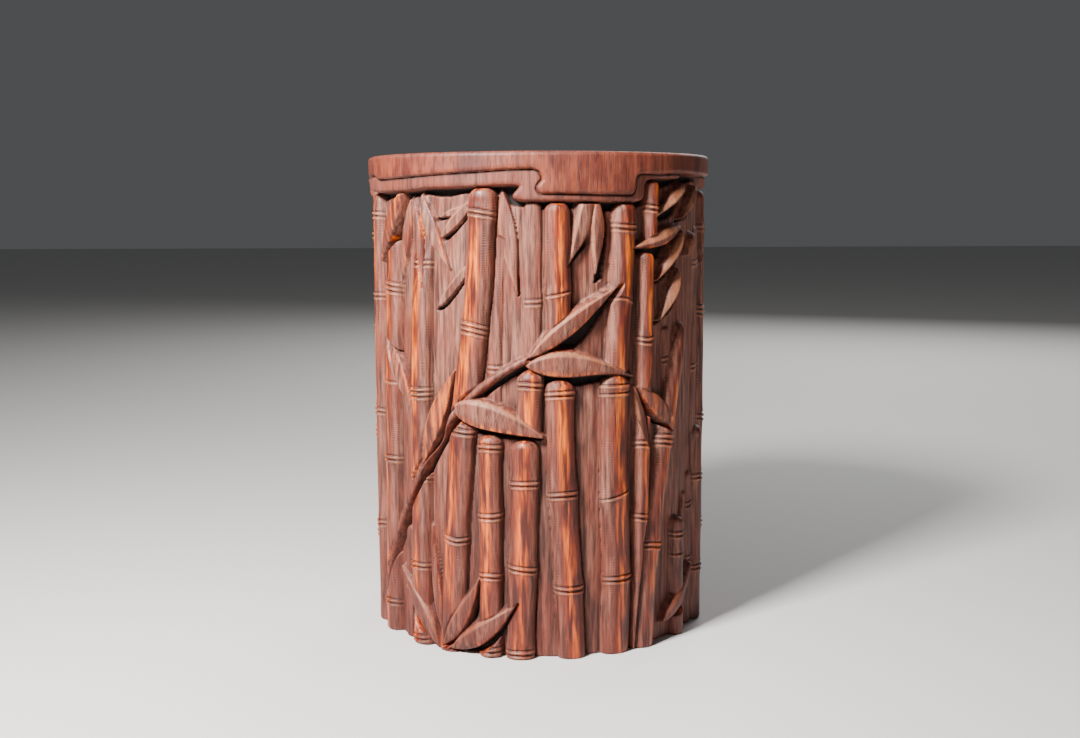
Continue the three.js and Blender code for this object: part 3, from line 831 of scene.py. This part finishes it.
def wall_piece(relief):
    """The wall, with marks for its material. Its unwrap's outside takes in the lip's outer edge."""
    inner_radii, inner_heights = inner_rings(relief)
    radius = np.vstack([relief.radius, inner_radii])
    height = np.vstack([np.repeat(relief.heights[:, None], COLUMNS, 1), inner_heights])
    turn = np.radians(relief.angles)[None, :]
    points = np.stack([radius * np.sin(turn), -radius * np.cos(turn), height], axis=-1).reshape(-1, 3)
    piece = quad_piece("carved_wall", points * MM, wall_quads(len(radius)))
    uv = piece.data.uv_layers.new(name="OFBake")
    corners = bake_corners(len(relief.radius) + 3, len(radius))
    uv.data.foreach_set("uv", corners.astype(np.float32).ravel())
    lip = inner_heights > BORE_TOP - 1
    inner_marks = {
        "polish_and_highlight": np.where(lip, 0.35, 0.18),
        "matte": 0.5,
        "painted_highlight": 0.0,
        # Painted shade inside the bore, none on the lip
        "painted_shade": np.where(lip, 0.0, 0.25),
        "chatter": 0.1,
        "grain": 0.45,
    }
    for name, value in inner_marks.items():
        inside = np.broadcast_to(value, inner_heights.shape)
        add_mark(piece, name, np.vstack([np.clip(getattr(relief, name), 0, 1), inside]))
    add_mark(piece, "along", np.vstack([relief.along, inner_heights]) * MM)
    return piece


def caps(rows, sides):
    return [tuple(reversed(range(sides))), tuple((rows - 1) * sides + side for side in range(sides))]


def turned_piece(name, profile, sides, bored):
    """A closed turned piece from (radius, height) points. Its profile runs all round the wall of a
    bored piece, and on a whole one from the axis below back to the axis above."""
    turn = np.linspace(0, 2 * math.pi, sides, endpoint=False)
    points = [
        np.stack([radius * np.sin(turn), -radius * np.cos(turn), 0 * turn + height], axis=-1)
        for radius, height in profile
    ]
    points = np.concatenate(points) * MM
    rows = len(profile)
    faces = []
    for row in range(rows if bored else rows - 1):
        below, above = row * sides, (row + 1) % rows * sides
        for side in range(sides):
            after = (side + 1) % sides
            faces.append((below + side, below + after, above + after, above + side))
    if not bored:
        faces += caps(rows, sides)
    mesh = bpy.data.meshes.new(name)
    mesh.from_pydata([tuple(point) for point in points], [], faces)
    mesh.validate()
    for polygon in mesh.polygons:
        polygon.use_smooth = True
    return add_object(name, mesh)


def board_piece():
    outer, bottom, top = BOARD_HIGH.x, BOARD_LOW.z, BOARD_HIGH.z
    inner = PLUG_HIGH.x + FIT_GAP
    ease = 0.35
    profile = [(inner, bottom + ease), (inner + ease, bottom)]
    profile += [(radius, bottom) for radius in np.linspace(inner + 3, outer - 3, 12)]
    profile += [(outer - ease, bottom), (outer, bottom + ease), (outer, top - ease), (outer - ease, top)]
    profile += [(radius, top) for radius in np.linspace(outer - 3, inner + 3, 12)]
    profile += [(inner + ease, top), (inner, top - ease)]
    return turned_piece("floor_board_turned", profile, 144, bored=True)


def plug_piece():
    """The plug, whose underside bulges a little below the board's."""
    radius, bottom, top = PLUG_HIGH.x, PLUG_LOW.z, PLUG_HIGH.z
    edge = BOARD_LOW.z
    ease = 0.3
    shares = np.linspace(0.05, 0.95, 9)
    profile = [(radius * share, bottom + (edge - bottom) * share**2) for share in shares]
    profile += [(radius - 0.02, edge + ease), (radius, edge + 2 * ease)]
    profile += [(radius, top - ease), (radius - ease, top - 0.02)]
    profile += [(radius * share, top) for share in (0.7, 0.4, 0.05)]
    return turned_piece("floor_plug_turned", profile, 96, bored=False)


def linear(*channels):
    """A colour as a screen shows it, 0 to 255, in linear numbers."""
    return tuple(((c / 255 + 0.055) / 1.055) ** 2.4 if c > 10 else c / 3294 for c in channels) + (1,)


class Shader:
    """A small helper that makes shader nodes and links what it is given to their inputs."""

    def __init__(self, name):
        self.material = bpy.data.materials.new(name)
        self.material.use_nodes = True
        self.tree = self.material.node_tree
        self.surface = self.tree.nodes["Principled BSDF"]

    def node(self, kind, inputs=None, **settings):
        made = self.tree.nodes.new(kind)
        for key, value in settings.items():
            setattr(made, key, value)
        for key, value in (inputs or {}).items():
            self.give(made.inputs[key], value)
        return made

    def give(self, socket, value):
        if isinstance(value, bpy.types.NodeSocket):
            self.tree.links.new(value, socket)
        else:
            socket.default_value = value

    def place(self):
        return self.node("ShaderNodeTexCoord").outputs["Object"]

    def mark(self, name):
        return self.node("ShaderNodeAttribute", attribute_name=name).outputs["Fac"]

    def math(self, operation, first, second=0.0, clamp=False):
        made = self.node("ShaderNodeMath", {0: first, 1: second}, operation=operation)
        made.use_clamp = clamp
        return made.outputs[0]

    def times(self, first, second):
        return self.math("MULTIPLY", first, second)

    def plus(self, first, second, clamp=False):
        return self.math("ADD", first, second, clamp)

    def span(self, value, low, high, to_low=0.0, to_high=1.0):
        inputs = {"Value": value, "From Min": low, "From Max": high, "To Min": to_low, "To Max": to_high}
        return self.node("ShaderNodeMapRange", inputs).outputs["Result"]

    def mix(self, factor, first, second, blend="MIX"):
        made = self.node("ShaderNodeMix", data_type="RGBA", blend_type=blend)
        self.give(made.inputs[0], factor)
        self.give(made.inputs[6], first)
        self.give(made.inputs[7], second)
        return made.outputs[2]

    def noise(self, scale, stretch=1.0, detail=3.0, distortion=0.0, offset=0.0):
        """Noise of that many features to a metre, drawn out along the fibres, which run up Z."""
        scales, shift = (scale, scale, scale / stretch), (offset, offset, offset)
        mapping = {"Vector": self.place(), "Location": shift, "Scale": scales}
        moved = self.node("ShaderNodeMapping", mapping).outputs[0]
        inputs = {"Vector": moved, "Scale": 1.0, "Detail": detail, "Distortion": distortion}
        return self.node("ShaderNodeTexNoise", inputs).outputs["Fac"]

    def bump(self, height, distance, normal=None):
        inputs = {"Height": height, "Distance": distance, "Strength": 1.0}
        if normal is not None:
            inputs["Normal"] = normal
        return self.node("ShaderNodeBump", inputs).outputs[0]


def tool_ticks(s):
    """Short fine ticks across a member, about 0.7 mm apart, that come and go in patches."""
    turns = s.times(s.mark("along"), 2 * math.pi / 0.0007)
    wobble = s.times(s.noise(180, detail=3), 24.0)
    ticks = s.span(s.math("SINE", s.plus(turns, wobble)), 0.2, 1.0)
    patches = s.span(s.noise(300, stretch=3, detail=2, offset=5), 0.40, 0.70)
    return s.times(s.times(ticks, patches), s.mark("chatter"))


def bare_wood(s, broad, streak):
    """Red where the wood is smooth, dusty where it is matte, and even where its grain is faint."""
    matte = s.mark("matte")
    red = s.mix(s.span(streak, 0.36, 0.64), linear(58, 10, 5), linear(112, 34, 15))
    red = s.mix(s.span(broad, 0.4, 0.7, 0.0, 0.5), red, linear(136, 48, 20))
    dusty = s.mix(s.span(streak, 0.36, 0.62), linear(68, 30, 22), linear(142, 91, 74))
    dusty = s.mix(s.span(broad, 0.42, 0.66, 0.0, 0.65), dusty, linear(112, 44, 24))
    dusted = s.times(matte, s.span(streak, 0.25, 0.65, 0.75, 1.0))
    mottled = s.noise(500, stretch=2, detail=4, offset=11)
    cloudy = s.span(s.plus(s.plus(broad, mottled), s.times(matte, 0.3)), 0.95, 1.3)
    even = s.mix(cloudy, linear(74, 18, 8), linear(116, 56, 41))
    return s.mix(s.mark("grain"), even, s.mix(dusted, red, dusty))


def with_amber_and_painted_highlight(s, colour, rubbed_and_highlit, broad, streak):
    """Amber streaks, in patches where the wood is rubbed; on the stalks' strips they are partly a painted
    highlight.
    """
    amber = s.mix(s.span(streak, 0.40, 0.60), linear(128, 38, 5), linear(228, 112, 15))
    patches = s.span(s.plus(broad, s.times(streak, 0.8)), 0.80, 1.02, 0.05, 1.0)
    shown = s.times(s.times(s.span(rubbed_and_highlit, 0.2, 0.85), patches), s.mark("grain"))
    return s.mix(shown, colour, amber)


def with_darker_foot_and_painted_shade(s, colour):
    """Darker and redder towards the foot, and nearly black with painted shade in the hollows."""
    height = s.node("ShaderNodeSeparateXYZ", {0: s.place()}).outputs["Z"]
    colour = s.mix(s.span(height, 0.0, 0.09, 0.85, 0.0), colour, linear(205, 165, 158), "MULTIPLY")
    # Painted shade: nearly black in the deep cuts and grooves
    return s.mix(s.times(s.mark("painted_shade"), 0.97), colour, linear(10, 4, 3))


def carved_wood():
    """Reddish hardwood: amber where it is rubbed, partly a painted highlight on the stalks; paler with
    painted highlights on lips and lit edges, and on tool ticks with partly painted sheen; fine pores;
    painted shade in the cuts.
    """
    s = Shader("carved_wood")
    broad = s.noise(210, stretch=4, detail=3, distortion=0.4)
    streak = s.noise(900, stretch=13, detail=4, offset=7)
    fibre = s.noise(2300, stretch=11, detail=3)
    pores = s.span(s.noise(2600, stretch=14, detail=1, offset=3), 0.60, 0.72)
    ticks = tool_ticks(s)
    painted_highlight = s.mark("painted_highlight")
    rubbed_and_highlit = s.times(s.mark("polish_and_highlight"), s.span(s.mark("matte"), 0.0, 1.0, 1.0, 0.4))
    # Amber from rubbing, partly a painted highlight on the stalks
    colour = with_amber_and_painted_highlight(s, bare_wood(s, broad, streak), rubbed_and_highlit, broad, streak)
    # The ticks' pale tone is partly painted sheen
    colour = s.mix(s.times(ticks, 0.28), colour, linear(176, 124, 100))
    fibre_strength = s.span(s.mark("grain"), 0.0, 1.0, 0.35, 1.0)
    dark_fibres = s.times(s.span(fibre, 0.48, 0.76, 0.0, 0.7), fibre_strength)
    colour = s.mix(dark_fibres, colour, linear(38, 12, 8))
    colour = s.mix(s.times(pores, 0.45), colour, linear(34, 12, 8))
    # Painted highlight on the lit lips and edges
    colour = s.mix(s.times(painted_highlight, 0.3), colour, linear(214, 142, 98))
    s.give(s.surface.inputs["Base Color"], with_darker_foot_and_painted_shade(s, colour))
    rough = s.span(s.plus(rubbed_and_highlit, s.times(painted_highlight, 0.4)), 0.1, 1.0, 0.55, 0.32)
    rough = s.plus(rough, s.times(s.mark("painted_shade"), 0.3), clamp=True)
    s.give(s.surface.inputs["Roughness"], s.plus(rough, s.span(fibre, 0.3, 0.7, 0.0, 0.14), clamp=True))
    ridges = s.bump(ticks, 0.00004)
    grain = s.bump(fibre, 0.00006, ridges)
    s.give(s.surface.inputs["Normal"], s.bump(pores, -0.00006, grain))
    s.surface.inputs["Specular IOR Level"].default_value = 0.5
    return s.material


def end_grain_wood(name, pale, dark, pith):
    """Dark wood seen across the grain: growth rings about the pith, clouds and small pores."""
    s = Shader(name)
    moved = s.node("ShaderNodeMapping", {"Vector": s.place(), "Location": (pith, pith / 2, 0)}).outputs[0]
    rings = s.node(
        "ShaderNodeTexWave",
        {"Vector": moved, "Scale": 95.0, "Distortion": 2.5, "Detail": 3.0, "Detail Scale": 0.6},
        wave_type="RINGS", rings_direction="Z",
    ).outputs["Fac"]
    speckle = s.span(s.noise(1500, detail=2), 0.60, 0.70)
    cloud = s.noise(60, detail=3)
    colour = s.mix(s.span(rings, 0.1, 0.9), pale, dark)
    colour = s.mix(s.span(cloud, 0.35, 0.7, 0.0, 0.5), colour, dark)
    colour = s.mix(s.times(speckle, 0.6), colour, linear(26, 12, 9))
    s.give(s.surface.inputs["Base Color"], colour)
    s.give(s.surface.inputs["Roughness"], s.span(rings, 0.0, 1.0, 0.5, 0.66))
    s.give(s.surface.inputs["Normal"], s.bump(s.math("SUBTRACT", rings, speckle), 0.00005))
    return s.material


def board_wood():
    return end_grain_wood("board_wood", linear(112, 62, 44), linear(70, 34, 24), 0.004)


def plug_wood():
    return end_grain_wood("plug_wood", linear(88, 46, 34), linear(52, 26, 19), 0.0)


def fit(piece, node, material):
    piece.data.materials.append(material)
    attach(piece, "root")
    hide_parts(node)


def pale_floor():
    size = 4.0
    mesh = bpy.data.meshes.new("floor")
    corners = [(-size, -size, 0), (size, -size, 0), (size, size, 0), (-size, size, 0)]
    mesh.from_pydata(corners, [], [(0, 1, 2, 3)])
    floor = add_object("floor", mesh)
    s = Shader("pale_floor")
    s.surface.inputs["Base Color"].default_value = (0.62, 0.61, 0.59, 1)
    s.surface.inputs["Roughness"].default_value = 0.8
    mesh.materials.append(s.material)


def soft_light(name, place, target, size, power, colour=(1, 1, 1)):
    data = bpy.data.lights.new(name, "AREA")
    data.shape = "SQUARE"
    data.size = size
    data.energy = power
    data.color = colour
    light = add_object(name, data)
    light.location = place
    light.rotation_euler = (Vector(target) - Vector(place)).to_track_quat("-Z", "Y").to_euler()


def studio():
    middle = (0, 0, HEIGHT * MM / 2)
    soft_light("key", (-0.205, -0.28, 0.36), middle, 0.09, 8.8, (1.0, 0.97, 0.93))
    soft_light("fill", (0.7, -0.5, 0.35), middle, 0.6, 0.4, (0.92, 0.96, 1.0))
    soft_light("back", (0.35, 0.8, 0.6), middle, 0.5, 6)
    world = bpy.data.worlds.new("studio")
    world.use_nodes = True
    background = world.node_tree.nodes["Background"]
    background.inputs["Color"].default_value = (0.8, 0.82, 0.85, 1)
    background.inputs["Strength"].default_value = 0.1
    bpy.context.scene.world = world


def camera():
    """A little below the rim's height and nearly eight rim radii away, looking slightly down."""
    data = bpy.data.cameras.new("camera")
    data.sensor_width = 36
    data.lens = 43.03
    eye = add_object("camera", data)
    rim = RIM_RADIUS * MM
    eye.location = (-0.04 * rim, -7.725 * rim, 2.434 * rim)
    pitch, yaw, roll = 0.1241, 0.0062, 0.0029
    eye.rotation_euler = Euler((math.pi / 2 - pitch, roll, -yaw))
    bpy.context.scene.camera = eye


camera()
studio()
pale_floor()
fit(wall_piece(carve()), "carved_body", carved_wood())
fit(board_piece(), "floor_board", board_wood())
fit(plug_piece(), "floor_plug", plug_wood())
